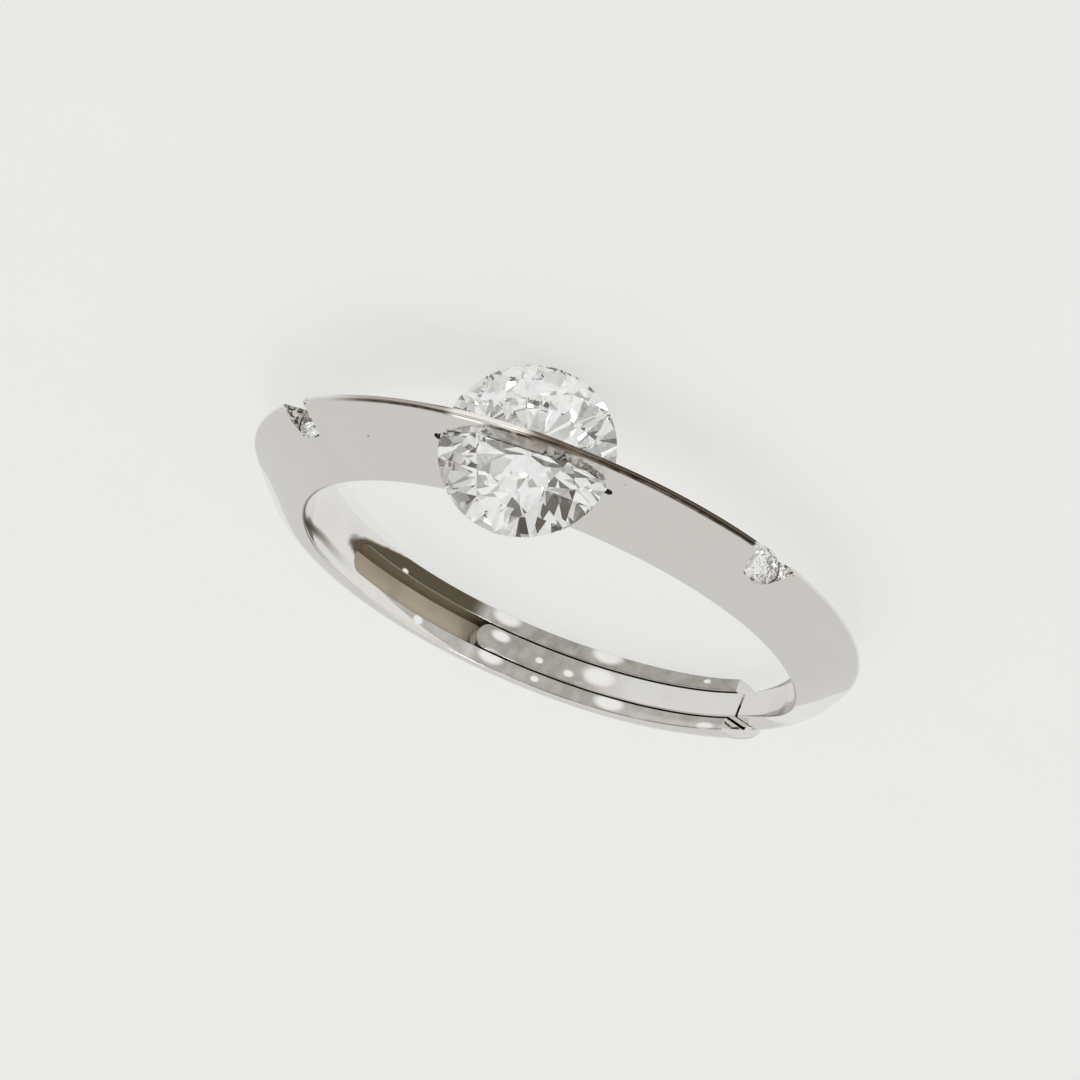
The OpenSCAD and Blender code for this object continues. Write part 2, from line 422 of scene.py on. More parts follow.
# Where each finish is found: the limits of each cut-out, and the slack within which a face lies on it
slack = 0.01
flank_normal = 0.93
wall_normal = 0.5
inward_normal = -0.5
hole_start = finger_r + 0.03
lip_end = finger_r + 0.07
seat_round = stone_d / 2 + 0.04
seat_heights = (-2.3, 0.12)
seat_end = 11.3
notch_round = side_d / 2 + 0.3
notch_low = -2
notch_skin = 0.05
bright_below_girdle = 0.1
window_turn = 16
window_rs = (finger_r + 0.3, finger_r + 3.15)
centre_frame = centre_place.inverted()
side_frames = [on_side(t).inverted() for t in side_angles.values()]


def finish_at(p, normal):
    """The finish of a face, from its middle and its normal in the ring's own frame."""
    r = math.hypot(p.x, p.y)
    t = math.degrees(math.atan2(p.x, -p.y)) % 360
    across_flank = abs(normal.z) < flank_normal
    in_channel = (channel_start - 1 < t < mouth_angle + 1 and abs(p.z) < channel_half + slack / 2
                  and lip_end < r < channel_r + slack)
    on_tongue = (in_channel and t > tip_angle - 1 and abs(p.z) <= tongue_half + slack
                 and r < tongue_r + slack)
    q = centre_frame @ p
    in_seat = (math.hypot(q.x, q.y) < seat_round and seat_heights[0] < q.z < seat_heights[1]
               and hole_start < r < seat_end and across_flank)
    in_notch = (hole_start < r < ridge_r(t) - notch_skin and across_flank
                and any((f @ p).xy.length < notch_round and (f @ p).z > notch_low for f in side_frames))
    in_window = (min(t, 360 - t) < window_turn and window_rs[0] < r < window_rs[1]
                 and abs(normal.z) < wall_normal)
    if in_notch and r > ridge_r(t) - side_depth - bright_below_girdle:
        return NOTCH_WALL
    if (in_channel and not on_tongue) or in_seat or in_notch or in_window:
        return RECESS
    if r < finger_r + 2 * slack and normal.dot(Vector((p.x, p.y, 0)) / r) < inward_normal:
        return FINGER_SIDE
    return OUTSIDE


sharp_from = math.radians(28)
finish_of_face = []
for face in metal.faces:
    face.smooth = True
    finish_of_face.append(finish_at(face.calc_center_median(), face.normal))
metal.transform(lie)
metal.to_mesh(band.data)
metal.free()
band.data.set_sharp_from_angle(angle=sharp_from)


def new_group(name, inputs, outputs):
    """A shader node group with named sockets, and the nodes that stand for its two ends."""
    group = bpy.data.node_groups.new(name, "ShaderNodeTree")
    for label, kind, value in inputs:
        group.interface.new_socket(label, in_out="INPUT", socket_type=kind).default_value = value
    for label, kind in outputs:
        group.interface.new_socket(label, in_out="OUTPUT", socket_type=kind)
    return group, group.nodes.new("NodeGroupInput"), group.nodes.new("NodeGroupOutput")


def give(tree, socket, value):
    """Joins a socket to another one, or sets it to a plain number or colour."""
    if isinstance(value, bpy.types.NodeSocket):
        tree.links.new(value, socket)
    elif isinstance(value, tuple) and len(value) == 3 and socket.type == "RGBA":
        socket.default_value = (*value, 1)
    else:
        socket.default_value = value


def fill(tree, node, values):
    """Gives each named socket of a node its value."""
    for label, value in values.items():
        give(tree, node.inputs[label], value)


def calc(tree, operation, *values, clamp=False):
    """The result of one step of arithmetic."""
    made = tree.nodes.new("ShaderNodeMath")
    made.operation = operation
    made.use_clamp = clamp
    for socket, value in zip(made.inputs, values):
        give(tree, socket, value)
    return made.outputs[0]


def times(tree, first, *others):
    """The product of two or more values."""
    for other in others:
        first = calc(tree, "MULTIPLY", first, other)
    return first


def minus(tree, first, second):
    """What is left of the first value without the second one."""
    return calc(tree, "SUBTRACT", first, second)


def free_of(tree, mask):
    """The mask of all that another mask leaves free."""
    return minus(tree, 1.0, mask)


def ramp(tree, value, low, high, bottom=0.0, top=1.0):
    """Goes softly from bottom to top while the value goes from low to high."""
    made = tree.nodes.new("ShaderNodeMapRange")
    made.interpolation_type = "SMOOTHSTEP"
    fill(tree, made, {"Value": value, "From Min": low, "From Max": high,
                      "To Min": bottom, "To Max": top})
    return made.outputs["Result"]


def between(tree, value, ends):
    """Goes softly up between the first two of four numbers, and down between the last two."""
    return times(tree, ramp(tree, value, ends[0], ends[1]), ramp(tree, value, ends[3], ends[2]))


def blend(tree, part, a, b):
    """Mixes two colours."""
    made = tree.nodes.new("ShaderNodeMix")
    made.data_type = "RGBA"
    give(tree, made.inputs["Factor"], part)
    for socket, value in zip([s for s in made.inputs if s.type == "RGBA"], (a, b)):
        give(tree, socket, value)
    return made.outputs["Result"]


def cloud(tree, vector, scale, detail=2.0, roughness=0.5, distortion=0.0):
    """Soft noise between 0 and 1."""
    made = tree.nodes.new("ShaderNodeTexNoise")
    fill(tree, made, {"Vector": vector, "Scale": scale, "Detail": detail, "Roughness": roughness,
                      "Distortion": distortion})
    return made.outputs["Fac"]


def vector_calc(tree, operation, *values):
    """The result of one step of arithmetic with vectors."""
    made = tree.nodes.new("ShaderNodeVectorMath")
    made.operation = operation
    for socket, value in zip(made.inputs, values):
        give(tree, socket, value)
    return made.outputs["Value" if operation in ("LENGTH", "DISTANCE", "DOT_PRODUCT") else "Vector"]


def ring_space(tree):
    """A point of the surface in the ring's own frame in millimetres, and its x, y and z there."""
    coordinate = tree.nodes.new("ShaderNodeTexCoord")
    place = tree.nodes.new("ShaderNodeMapping")
    place.vector_type = "TEXTURE"
    place.inputs["Location"].default_value = (0, rest_y * MM, rest_lift * MM)
    place.inputs["Rotation"].default_value = (-rest_tilt, 0, 0)
    place.inputs["Scale"].default_value = (MM, MM, MM)
    tree.links.new(coordinate.outputs["Object"], place.inputs["Vector"])
    parts = tree.nodes.new("ShaderNodeSeparateXYZ")
    tree.links.new(place.outputs["Vector"], parts.inputs[0])
    return place.outputs["Vector"], *parts.outputs


def radius_of(tree, place):
    """The distance of a point from the finger axis."""
    return vector_calc(tree, "LENGTH", vector_calc(tree, "MULTIPLY", place, (1.0, 1.0, 0.0)))


def turn_of(tree, x, y):
    """The angle from the head, from 0 to 360 degrees, with its seam at the head."""
    back = calc(tree, "ARCTAN2", times(tree, x, -1.0), y)
    return calc(tree, "MULTIPLY_ADD", back, math.degrees(1), 180.0)


def signed_turn_of(tree, x, y):
    """The angle from the head, from -180 to 180 degrees, with its seam at the back."""
    return times(tree, calc(tree, "ARCTAN2", x, times(tree, y, -1.0)), math.degrees(1))


# Hand polish: hairlines that run round the hoop, with soft cloudy smears between them
hair_stretch = 0.03
hair_fineness = 26.0
hair_marks = (0.52, 0.75)
smear_marks = (0.4, 0.7)
polish, polish_in, polish_out = new_group(
    "hand_polish",
    [("Metal", "NodeSocketColor", (0.8, 0.8, 0.8, 1)), ("Smear", "NodeSocketColor", (0.7, 0.7, 0.7, 1)),
     ("Smears", "NodeSocketFloat", 0.3), ("Hairlines", "NodeSocketFloat", 0.3),
     ("Roughness", "NodeSocketFloat", 0.05), ("Spread", "NodeSocketFloat", 0.05)],
    [("Color", "NodeSocketColor"), ("Roughness", "NodeSocketFloat"), ("Height", "NodeSocketFloat")])
place, x, y, z = ring_space(polish)
round_hoop = polish.nodes.new("ShaderNodeCombineXYZ")
fill(polish, round_hoop, {"X": times(polish, turn_of(polish, x, y), hair_stretch),
                          "Y": times(polish, z, hair_fineness),
                          "Z": times(polish, vector_calc(polish, "LENGTH", place), hair_fineness)})
hair_cloud = cloud(polish, round_hoop.outputs[0], scale=1.0, detail=6.0, roughness=0.7)
hairs = ramp(polish, hair_cloud, *hair_marks)
lines = times(polish, hairs, polish_in.outputs["Hairlines"])
smears = ramp(polish, cloud(polish, place, scale=0.55, detail=4.0, distortion=0.6), *smear_marks)
smears = times(polish, smears, polish_in.outputs["Smears"])
both = calc(polish, "ADD", smears, lines, clamp=True)
dulled = calc(polish, "MULTIPLY_ADD", both, polish_in.outputs["Spread"], polish_in.outputs["Roughness"])
smeared = blend(polish, both, polish_in.outputs["Metal"], polish_in.outputs["Smear"])
fill(polish, polish_out, {"Color": smeared, "Roughness": dulled, "Height": lines})

# Painted reflection inside the sleeve: a brown painted dark reflection from the channel's round end to
# the mouth, with painted highlight spots that stand for glints. On the tongue the painted dark fades
# toward the mouth, and a brown streak of painted dark reflection leads to it from the near edge. Two
# numbers say where a change starts and ends, the two after them how strong it is there, and the streak's
# four turns where it comes and goes.
dark_start = 110.0
dark_bulge = 30.0
dark_axis = -0.2
dark_ragged = 3.0
dark_soft = (-1.0, 3.0)
tongue_edge = (0.43, 0.49)
tongue_fade = (176.0, 196.0, 0.64, 0.10)
tip_turns = (150.0, 158.0, 1.0, 0.0)
patch_heights = (0.5, 0.0, 0.5, 1.0)
rim_turns = (188.0, 198.0)
rim_heights = (0.66, 0.82, 0.0, 0.35)
lip_heights = (-0.5, 0.5, 0.68, 0.58)
even_heights = (0.4, 0.0)
least_even = 0.74
mottle_marks = (0.3, 0.7)
streak_turns = (54.0, 62.0, 88.0, 120.0)
streak_sinks = (79.0, 103.0, 1.0, 0.56)
streak_halves = (0.21, 0.04)
highlight_soft = (1.7, 0.3)
highlight_spots = [(159.2, -0.90, 3.4, 0.26), (159.5, -0.20, 2.2, 0.17), (159.0, 0.60, 3.0, 0.24),
                (184.8, -0.92, 3.6, 0.28), (184.6, -0.10, 3.8, 0.30), (189.3, 0.68, 3.6, 0.24),
                (152.9, 0.16, 1.2, 0.13), (148.1, 0.14, 0.9, 0.10), (139.2, 0.66, 1.3, 0.15),
                (170.0, 0.05, 0.9, 0.10), (170.6, 0.72, 1.0, 0.10), (177.5, 0.12, 1.2, 0.12),
                (212.0, -0.78, 1.0, 0.07), (216.4, 0.82, 2.6, 0.12), (131.0, -0.55, 0.9, 0.08)]
sleeve_paint, sleeve_paint_in, sleeve_paint_out = new_group(
    "sleeve_painted_reflection", [("Reflection Paint", "NodeSocketFloat", 1.0), ("Highlight Paint", "NodeSocketFloat", 1.0)],
    [("Reflection Paint", "NodeSocketFloat"), ("Highlight Paint", "NodeSocketFloat")])
place, x, y, z = ring_space(sleeve_paint)
turn = turn_of(sleeve_paint, x, y)
patches = cloud(sleeve_paint, place, scale=2.2, detail=3.0, roughness=0.55, distortion=0.4)
from_axis = minus(sleeve_paint, z, dark_axis)
bulge = times(sleeve_paint, from_axis, from_axis, dark_bulge)
inside = minus(sleeve_paint, minus(sleeve_paint, turn, dark_start), bulge)
ragged = calc(sleeve_paint, "MULTIPLY_ADD", patches, dark_ragged, minus(sleeve_paint, inside, dark_ragged / 2))
began = ramp(sleeve_paint, ragged, *dark_soft)
off_tongue = ramp(sleeve_paint, calc(sleeve_paint, "ABSOLUTE", z), *tongue_edge)
tongue_part = times(sleeve_paint, ramp(sleeve_paint, turn, *tongue_fade), free_of(sleeve_paint, off_tongue))
before_tongue = ramp(sleeve_paint, turn, *tip_turns)
patch = times(sleeve_paint, before_tongue, ramp(sleeve_paint, z, *patch_heights))
near_rim = times(sleeve_paint, ramp(sleeve_paint, turn, *rim_turns), ramp(sleeve_paint, z, *rim_heights))
beside_tongue = times(sleeve_paint, ramp(sleeve_paint, z, *lip_heights), free_of(sleeve_paint, before_tongue))
lips_part = times(sleeve_paint, off_tongue, beside_tongue, free_of(sleeve_paint, near_rim))
strength = calc(sleeve_paint, "MAXIMUM", calc(sleeve_paint, "MAXIMUM", tongue_part, lips_part), patch)
near_tip = times(sleeve_paint, before_tongue, ramp(sleeve_paint, z, *even_heights))
even = calc(sleeve_paint, "MULTIPLY_ADD", near_tip, 1 - least_even, least_even)
mottled = times(sleeve_paint, strength, ramp(sleeve_paint, patches, *mottle_marks, 1.0, even))
# The streak is a painted dark reflection along the wall.
from_streak = calc(sleeve_paint, "ABSOLUTE", minus(sleeve_paint, z, ramp(sleeve_paint, turn, *streak_sinks)))
streak = times(sleeve_paint, ramp(sleeve_paint, from_streak, *streak_halves), between(sleeve_paint, turn, streak_turns))
dark_pattern = calc(sleeve_paint, "MAXIMUM", times(sleeve_paint, mottled, began), streak)
# Painted highlights: a soft bright spot for each glint.
highlight_paint = 0.0
for spot_t, spot_z, reach_t, reach_z in highlight_spots:
    along = calc(sleeve_paint, "DIVIDE", minus(sleeve_paint, turn, spot_t), reach_t)
    across = calc(sleeve_paint, "DIVIDE", minus(sleeve_paint, z, spot_z), reach_z)
    away = calc(sleeve_paint, "ADD", times(sleeve_paint, along, along), times(sleeve_paint, across, across))
    highlight_paint = calc(sleeve_paint, "MAXIMUM", highlight_paint, ramp(sleeve_paint, away, *highlight_soft))
fill(sleeve_paint, sleeve_paint_out, {"Reflection Paint": times(sleeve_paint, dark_pattern, sleeve_paint_in.outputs["Reflection Paint"]),
                      "Highlight Paint": times(sleeve_paint, highlight_paint, sleeve_paint_in.outputs["Highlight Paint"])})

hair_height = 0.01 * MM


def metal_finish(name, metal_color, smear_color, smears, hairlines, roughness, spread, bump):
    """A metal whose colour, gloss and height come from the hand polish."""
    material = bpy.data.materials.new(name)
    material.use_nodes = True
    tree = material.node_tree
    shader = tree.nodes["Principled BSDF"]
    shader.inputs["Metallic"].default_value = 1
    effect = tree.nodes.new("ShaderNodeGroup")
    effect.node_tree = polish
    fill(tree, effect, {"Metal": metal_color, "Smear": smear_color, "Smears": smears,
                        "Hairlines": hairlines, "Roughness": roughness, "Spread": spread})
    relief = tree.nodes.new("ShaderNodeBump")
    relief.inputs["Strength"].default_value = bump
    relief.inputs["Distance"].default_value = hair_height
    tree.links.new(effect.outputs["Height"], relief.inputs["Height"])
    tree.links.new(effect.outputs["Color"], shader.inputs["Base Color"])
    tree.links.new(effect.outputs["Roughness"], shader.inputs["Roughness"])
    tree.links.new(relief.outputs["Normal"], shader.inputs["Normal"])
    return material, tree, shader, effect


outside, tree, shader, effect = metal_finish(
    "mirror_polish", metal_color=(0.80, 0.79, 0.77), smear_color=(0.77, 0.76, 0.74),
    smears=0.5, hairlines=0.15, roughness=0.03, spread=0.05, bump=0.04)

# The ridge's two edges carry a painted dark reflection, a brown line from notch to notch, thicker on the
# right, and the flat between them is painted as a tan to dark brown reflection. Over the stone the flat
# has a painted highlight, where only a thin lower line of painted shade stays, and painted shade lies on
# the bar's flank. A thin line of painted dark reflection runs at the inner edge, specks of painted shade
# lie round the window, and three small pits in the near flank are dark. Turns are in degrees from the
# head, and depths in millimetres below the ridge.
dark_line_paint_color = (0.038, 0.027, 0.018)
thick_turns = (0.0, -5.0)
thin_turns = (-36.0, -27.0)
line_turns = (-37.8, -37.2, 24.0, 35.0)
line_depths = (0.095, 0.125)
line_side = (-0.012, 0.012)
line_foot = (0.03, -0.05)
line_streaks = (0.35, 0.65, 0.88, 1.0)
flat_reflection_colors = ((0.52, 0.47, 0.41), (0.16, 0.13, 0.10))
flat_halves = (0.05, 0.022)
flat_depths = (0.06, 0.02)
ridge_highlight_color = (1.0, 0.98, 0.93)
ridge_highlight_turn = 5.0
ridge_highlight_end = (7.5, 5.0)
ridge_highlight_depths = (0.14, 0.08)
low_line_turns = (-3.0, -1.0, 4.5, 6.5)
low_line_depths = (0.02, 0.045, 0.11, 0.15)
low_line_side = (0.0, 0.03)
low_line_streaks = (0.35, 0.6, 0.7, 1.0)
bar_shade_color = (0.26, 0.22, 0.16)
bar_shade_turns = (-14.0, -9.0, 2.0, 7.0)
bar_shade_depths = (0.72, 0.55)
bar_shade_streaks = (0.3, 0.7, 0.25, 0.7)
pit_and_painted_dark_color = (0.13, 0.12, 0.085)
painted_dark_part = 0.9
speck_marks = (0.38, 0.52)
window_depths = (0.56, 0.62, 0.72, 0.80)
window_end = (2.45, 2.25)
edge_rise = (0.10, 0.03)
edge_heights = (0.90, 0.95)
left_edge_turns = (52.0, 62.0, 92.0, 112.0)
right_edge_turns = (236.0, 246.0, 272.0, 282.0)
right_edge_part = 0.55
pit_edge = (1.3, 0.7)
pits = [(29.8, 10.13, 0.48, 0.035), (343.8, 11.25, 0.21, 0.022), (321.7, 11.36, 0.12, 0.035)]

place, x, y, z = ring_space(tree)
signed = signed_turn_of(tree, x, y)
from_circle = vector_calc(tree, "ADD", place, (0.0, ridge_offset, 0.0))
depth = minus(tree, ridge_circle_r, radius_of(tree, from_circle))
streaks = cloud(tree, place, scale=3.5, detail=3.0)
thick = ramp(tree, signed, *thick_turns)
half = calc(tree, "MULTIPLY_ADD", thick, flat_halves[1] - flat_halves[0], flat_halves[0])
wide = times(tree, thick, ramp(tree, signed, *thin_turns))
reach = calc(tree, "MULTIPLY_ADD", wide, line_depths[1] - line_depths[0], line_depths[0])
from_flat = minus(tree, calc(tree, "ABSOLUTE", z), half)
ends = between(tree, signed, line_turns)
from_ridge_highlight = calc(tree, "ABSOLUTE", minus(tree, signed, ridge_highlight_turn))
over_stone = ramp(tree, from_ridge_highlight, *ridge_highlight_end)
# Painted dark reflection along the ridge's edges
line = times(tree, ramp(tree, from_flat, *line_side), ramp(tree, minus(tree, depth, reach), *line_foot),
             free_of(tree, over_stone), ends, ramp(tree, streaks, *line_streaks))
# Painted highlight on the flat over the stone
ridge_highlight_flat = times(tree, ramp(tree, depth, *ridge_highlight_depths), over_stone)
on_flat = calc(tree, "MAXIMUM", times(tree, ramp(tree, depth, *flat_depths), ends), ridge_highlight_flat)
# The ridge's flat is painted as a tan to dark brown reflection, and as a highlight over the stone
flat_color = blend(tree, over_stone, blend(tree, thick, *flat_reflection_colors), ridge_highlight_color)
color = blend(tree, on_flat, effect.outputs["Color"], flat_color)
color = blend(tree, line, color, dark_line_paint_color)
# A thin line of painted shade under the painted highlight over the stone
low_line = times(tree, between(tree, depth, low_line_depths), between(tree, signed, low_line_turns),
                 ramp(tree, z, *low_line_side), ramp(tree, streaks, *low_line_streaks))
color = blend(tree, low_line, color, dark_line_paint_color)
# Painted shade on the bar's flank over the stone
bar_shade = times(tree, between(tree, signed, bar_shade_turns), ramp(tree, depth, *bar_shade_depths),
              ramp(tree, streaks, *bar_shade_streaks), free_of(tree, ridge_highlight_flat))
color = blend(tree, bar_shade, color, bar_shade_color)
# Specks of painted shade along the window's top edge
specks = ramp(tree, cloud(tree, place, scale=9.0, detail=3.0, roughness=0.7), *speck_marks)
below = minus(tree, depth, ramp(tree, x, *bar_extra_from, 0.0, bar_extra))
at_window = times(tree, between(tree, below, window_depths),
                  ramp(tree, calc(tree, "ABSOLUTE", x), *window_end))
color = blend(tree, times(tree, at_window, specks, painted_dark_part), color, pit_and_painted_dark_color)
turn = turn_of(tree, x, y)
from_finger = minus(tree, radius_of(tree, place), finger_r)
# A thin line of painted dark reflection along the inner edge
inner_edge = times(tree, ramp(tree, from_finger, *edge_rise), ramp(tree, z, *edge_heights))
right_edge = times(tree, between(tree, turn, right_edge_turns), right_edge_part)
edge_ends = calc(tree, "MAXIMUM", between(tree, turn, left_edge_turns), right_edge)
color = blend(tree, times(tree, inner_edge, edge_ends, painted_dark_part), color, pit_and_painted_dark_color)
for pit_t, pit_r, pit_z, size in pits:
    away = vector_calc(tree, "DISTANCE", place, on_hoop(pit_r, pit_t, pit_z))
    color = blend(tree, ramp(tree, away, pit_edge[0] * size, pit_edge[1] * size), color, pit_and_painted_dark_color)
tree.links.new(color, shader.inputs["Base Color"])

highlight_gloss = 0.5


def painted_reflection_finish(name, reflection_paint_color, highlight_paint_color, reflection_paint, highlight_paint, dulling, **polish_values):
    """A metal finish with a painted reflection colour inside the sleeve, and painted highlights at its
    spots.
    """
    material, tree, shader, effect = metal_finish(name, **polish_values)
    sleeve_paint_node = tree.nodes.new("ShaderNodeGroup")
    sleeve_paint_node.node_tree = sleeve_paint
    fill(tree, sleeve_paint_node, {"Reflection Paint": reflection_paint, "Highlight Paint": highlight_paint})
    color = blend(tree, sleeve_paint_node.outputs["Reflection Paint"], effect.outputs["Color"], reflection_paint_color)
    color = blend(tree, sleeve_paint_node.outputs["Highlight Paint"], color, highlight_paint_color)
    tree.links.new(color, shader.inputs["Base Color"])
    dull = calc(tree, "MULTIPLY_ADD", sleeve_paint_node.outputs["Reflection Paint"], dulling, effect.outputs["Roughness"])
    unpolished = free_of(tree, times(tree, sleeve_paint_node.outputs["Highlight Paint"], highlight_gloss))
    tree.links.new(times(tree, dull, unpolished), shader.inputs["Roughness"])
    return material


# Inside the sleeve the finger side gets a painted dark reflection and painted highlight spots.
finger_side = painted_reflection_finish(
    "finger_side_painted_reflection", reflection_paint_color=(0.12, 0.10, 0.065), highlight_paint_color=(1.0, 0.99, 0.97), reflection_paint=1.0,
    highlight_paint=1.0, dulling=0.16, metal_color=(0.90, 0.89, 0.87), smear_color=(0.80, 0.78, 0.74),
    smears=0.45, hairlines=0.3, roughness=0.06, spread=0.08, bump=0.08)
# The hollows' dark base colour is a dull skin and partly painted shade, as in the dark gap under the
# bar; inside the sleeve the channel is painted lighter, against its own shade, and has no painted
# highlights.
recess = painted_reflection_finish(
    "dull_recess", reflection_paint_color=(0.60, 0.54, 0.44), highlight_paint_color=(0.6, 0.57, 0.5), reflection_paint=1.0,
    highlight_paint=0.0, dulling=0.1, metal_color=(0.27, 0.24, 0.20), smear_color=(0.13, 0.11, 0.08),
    smears=0.9, hairlines=0.4, roughness=0.28, spread=0.2, bump=0.3)

# The notches' walls above the girdle are bright metal mottled with dark flakes: painted highlight and
# painted shade side by side
flake_marks = (0.52, 0.58)
flake_shade_color = (0.15, 0.12, 0.09)
cut_walls, tree, shader, effect = metal_finish(
    "notch_mottle", metal_color=(0.92, 0.90, 0.87), smear_color=(0.80, 0.74, 0.68),
    smears=0.6, hairlines=0.5, roughness=0.10, spread=0.15, bump=0.3)
flake_cloud = cloud(tree, ring_space(tree)[0], scale=5.0, detail=2.0, roughness=0.6, distortion=0.8)
flakes = ramp(tree, flake_cloud, *flake_marks)
tree.links.new(blend(tree, flakes, effect.outputs["Color"], flake_shade_color), shader.inputs["Base Color"])

band.data.materials.clear()
for finish in (outside, finger_side, recess, cut_walls):
    band.data.materials.append(finish)
band.data.polygons.foreach_set("material_index", finish_of_face)
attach(band, "root")
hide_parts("band")


# The stones
# Round brilliants, cut from clear crystal: a round girdle between a crown with a flat table and
# a pavilion that ends in a tiny culet. The large one is held by its girdle in the window's two
# ends, and each small one sits across its notch.

star_part = 0.78
lower_part = 0.24
culet_part = 0.03
step = 45
half_step = step / 2
girdle_sides = 96

film_marks = (0.55, 0.8)
film_roughness = 0.03
crystal = bpy.data.materials.new("clear_crystal")
crystal.use_nodes = True
tree = crystal.node_tree
shader = tree.nodes["Principled BSDF"]
shader.inputs["Transmission Weight"].default_value = 1
shader.inputs["IOR"].default_value = 2.417
where = tree.nodes.new("ShaderNodeTexCoord")
film = cloud(tree, where.outputs["Object"], scale=900.0, detail=4.0)
tree.links.new(ramp(tree, film, *film_marks, 0.0, film_roughness), shader.inputs["Roughness"])
tree.links.new(blend(tree, film, (1.0, 1.0, 1.0), (0.95, 0.965, 0.98)), shader.inputs["Base Color"])


def stone_point(radius, turn, z):
    """The point of a stone at a radius, a turn in degrees and a height over its girdle's middle."""
    a = math.radians(turn)
    return Vector((radius * math.cos(a), radius * math.sin(a), z))


def facet_planes(r):
    """A point and the outward normal of each facet of a brilliant with the radius r."""
    g = girdle_part * r
    rt, rs, rl, rc = table_part * r, star_part * r, lower_part * r, culet_part * r
    across = math.cos(math.radians(half_step))
    table_z = g + (r - rt) * crown_slope
    star_z = g + (r - rs * across) * crown_slope
    lower_z = -g - (r - rl * across) * pavilion_slope
    culet_z = -g - (r - rc) * pavilion_slope
    high = Vector((0, 0, 1))
    planes = [(Vector((0, 0, table_z)), high), (Vector((0, 0, culet_z)), -high)]
    for turn in range(0, 360, step):
        out = stone_point(1, turn, 0)
        planes.append((stone_point(r, turn, g), (out * crown_slope + high).normalized()))
        planes.append((stone_point(r, turn, -g), (out * pavilion_slope - high).normalized()))
        half_turn, next_turn = turn + half_step, turn + step
        star = stone_point(rs, half_turn, star_z)
        keel = stone_point(rl, half_turn, lower_z)
        for a, b, c in ((stone_point(rt, turn, table_z), stone_point(rt, next_turn, table_z), star),
                        (star, stone_point(r, turn, g), stone_point(r, half_turn, g)),
                        (star, stone_point(r, half_turn, g), stone_point(r, next_turn, g)),
                        (keel, stone_point(r, turn, -g), stone_point(r, half_turn, -g)),
                        (keel, stone_point(r, half_turn, -g), stone_point(r, next_turn, -g))):
            normal = (b - a).cross(c - a).normalized()
            planes.append((a, normal if normal.dot(a) > 0 else -normal))
    return planes


def brilliant(name, diameter, place):
    """A cylinder whose facets are ground on one by one, as a cutter does."""
    r = diameter / 2
    bm = bmesh.new()
    bmesh.ops.create_cone(bm, cap_ends=True, segments=girdle_sides, radius1=r, radius2=r, depth=3 * r)
    for spot, normal in facet_planes(r):
        made = bmesh.ops.bisect_plane(bm, geom=bm.verts[:] + bm.edges[:] + bm.faces[:], dist=1e-6,
                                      plane_co=spot, plane_no=normal, clear_outer=True)
        rim = [e for e in made["geom_cut"] if isinstance(e, bmesh.types.BMEdge)]
        if rim:
            bmesh.ops.contextual_create(bm, geom=rim)
    bmesh.ops.recalc_face_normals(bm, faces=bm.faces[:])
    bm.transform(lie @ place)
    mesh = bpy.data.meshes.new(name)
    bm.to_mesh(mesh)
    bm.free()
    piece = bpy.data.objects.new(name, mesh)
    bpy.context.scene.collection.objects.link(piece)
    piece.data.materials.append(crystal)
    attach(piece, "root")
    return piece


centre = brilliant("centre_brilliant", stone_d, centre_place)
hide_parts("centre_stone")
for side, t in side_angles.items():
    small = brilliant(side + "_brilliant", side_d, on_side(t))
    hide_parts("side_stone_" + side)


# The floor
# A plain pale surface that the ring lies on, lit softly from below as well, as on a light table,
# so that shadows on it stay faint. It is large enough to fill every view.

paper_colors = ((0.25, 0.25, 0.25), (0.28, 0.28, 0.28))
paper_roughness = (0.6, 0.8)
bpy.ops.mesh.primitive_grid_add(x_subdivisions=8, y_subdivisions=8, size=4)
floor = bpy.context.object
floor.name = "pale_floor"
paper = bpy.data.materials.new("pale_paper")
paper.use_nodes = True
tree = paper.node_tree
shader = tree.nodes["Principled BSDF"]
shader.inputs["Specular IOR Level"].default_value = 0.2
where = tree.nodes.new("ShaderNodeTexCoord")
fibre = cloud(tree, where.outputs["Object"], scale=160.0, detail=5.0)
tree.links.new(blend(tree, fibre, *paper_colors), shader.inputs["Base Color"])
tree.links.new(ramp(tree, fibre, 0.0, 1.0, *paper_roughness), shader.inputs["Roughness"])
shader.inputs["Emission Color"].default_value = (1.0, 1.0, 0.985, 1)
shader.inputs["Emission Strength"].default_value = 0.60
floor.data.materials.append(paper)


# The light
# A soft bright dome: an even pale grey behind the ring, which the flanks mirror, a brighter top, and
# a few dark cards and small bright lamps in front, which the ridge and the stones mirror.

behind = Vector((0.15, 0.80, 0.58)).normalized()
behind_color = (0.72, 0.71, 0.69)
behind_marks = (-0.35, 0.20)
front_color = (0.90, 0.89, 0.87)
top_color = (1.02, 1.01, 0.99)
top_radius = 25
top_edge = 20
seen_color = (0.80, 0.80, 0.79)
card_color = (0.34, 0.33, 0.31)
dark_cards = [((-0.34, -0.68, 0.65), 10), ((-0.47, -0.45, 0.76), 10), ((-0.01, -0.33, 0.94), 10),
              ((0.56, -0.33, 0.76), 10), ((0.87, -0.44, 0.22), 10), ((-0.13, -0.99, 0.10), 6),
              ((0.14, -0.88, 0.46), 6), ((0.52, -0.82, 0.26), 6), ((0.20, -0.66, 0.73), 6),
              ((-0.64, -0.48, 0.60), 6)]
lamps = [((-0.18, -0.98, 0.12), 3, (2.2, 2.5, 2.9)), ((-0.25, -0.55, 0.80), 3, (7.0, 6.8, 6.3)),
         ((-0.12, -0.73, 0.68), 3, (2.8, 2.5, 1.9)), ((0.30, -0.95, 0.11), 3, (2.9, 2.5, 1.8))]
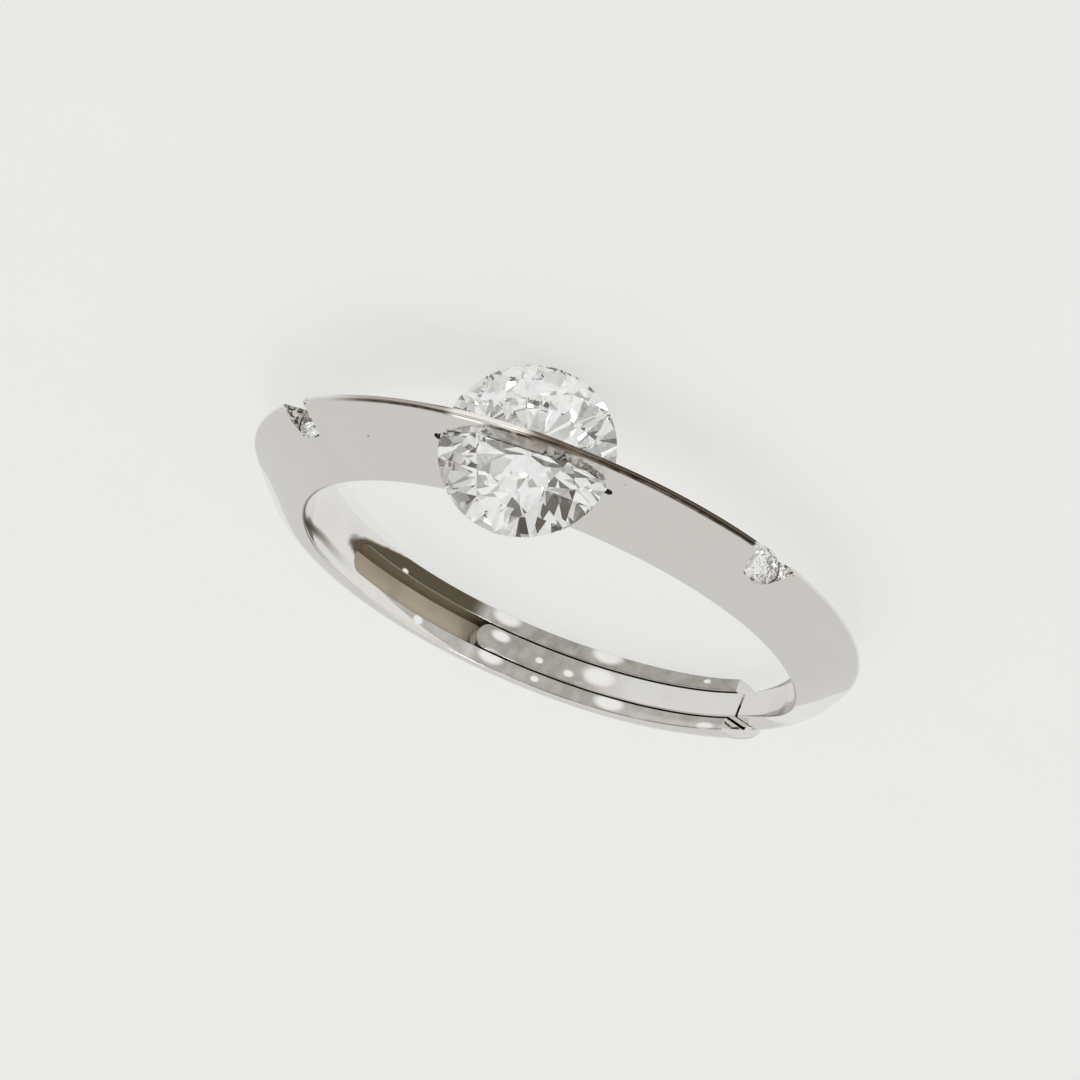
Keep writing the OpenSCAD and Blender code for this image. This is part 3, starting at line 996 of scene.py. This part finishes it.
card_edge = 8
lamp_edge = 1

world = bpy.data.worlds.new("studio")
bpy.context.scene.world = world
world.use_nodes = True
tree = world.node_tree
aim = tree.nodes.new("ShaderNodeTexCoord").outputs["Generated"]


def spot(direction, radius, edge):
    """A round soft-edged part of the dome; radius and edge are in degrees."""
    toward = vector_calc(tree, "DOT_PRODUCT", aim, tuple(Vector(direction).normalized()))
    return ramp(tree, toward, math.cos(math.radians(radius + edge)), math.cos(math.radians(radius)))


backward = vector_calc(tree, "DOT_PRODUCT", aim, tuple(behind))
dome = blend(tree, ramp(tree, backward, *behind_marks), front_color, behind_color)
dome = blend(tree, spot((0.0, 0.0, 1.0), top_radius, top_edge), dome, top_color)
for direction, radius in dark_cards:
    dome = blend(tree, spot(direction, radius, card_edge), dome, card_color)
for direction, radius, color in lamps:
    dome = blend(tree, spot(direction, radius, lamp_edge), dome, color)
rays = tree.nodes.new("ShaderNodeLightPath")
dome = blend(tree, rays.outputs["Is Camera Ray"], dome, seen_color)
tree.links.new(dome, tree.nodes["Background"].inputs["Color"])

softbox = bpy.data.lights.new("softbox", "AREA")
softbox.shape = "DISK"
softbox.size = 0.14
softbox.energy = 0.3
softbox.color = (1.0, 0.985, 0.96)
holder = bpy.data.objects.new("softbox", softbox)
holder.location = (-0.22, -0.06, 0.70)
holder.rotation_euler = (-holder.location).to_track_quat("-Z", "Y").to_euler()
bpy.context.scene.collection.objects.link(holder)


# The camera
# It looks at the ring's head from a little above the ring's near face, and is turned over, so
# that the head is at the top of the picture, as in the photograph.

camera_elevation = math.radians(18.32)
camera_azimuth = math.radians(-12.73)
camera_roll = math.radians(202.53)
camera_distance = 110
sensor = 36
picture = 1080
focal_px = 3487.66
shift_px = (18.45, 43.70)
most_bounces = 24
back = Vector((math.sin(camera_azimuth) * math.cos(camera_elevation),
               -math.cos(camera_azimuth) * math.cos(camera_elevation), math.sin(camera_elevation)))
right = (-back).cross(Vector((0, 0, 1))).normalized()
up = right.cross(-back)
turned_right = math.cos(camera_roll) * right + math.sin(camera_roll) * up
turned_up = -math.sin(camera_roll) * right + math.cos(camera_roll) * up
axes = Matrix((turned_right, turned_up, back)).transposed().to_4x4()
axes.translation = back * camera_distance
pose = lie @ axes
camera = bpy.data.objects.new("camera", bpy.data.cameras.new("camera"))
bpy.context.scene.collection.objects.link(camera)
camera.matrix_world = Matrix.LocRotScale(pose.translation, pose.to_quaternion(), None)
camera.data.sensor_width = sensor
camera.data.lens = focal_px / picture * sensor
camera.data.shift_x = -shift_px[0] / picture
camera.data.shift_y = shift_px[1] / picture
camera.data.clip_start = 0.001
bpy.context.scene.camera = camera
bpy.context.scene.view_settings.view_transform = "Standard"
bpy.context.scene.cycles.max_bounces = most_bounces
bpy.context.scene.cycles.transmission_bounces = most_bounces
bpy.context.scene.cycles.glossy_bounces = most_bounces
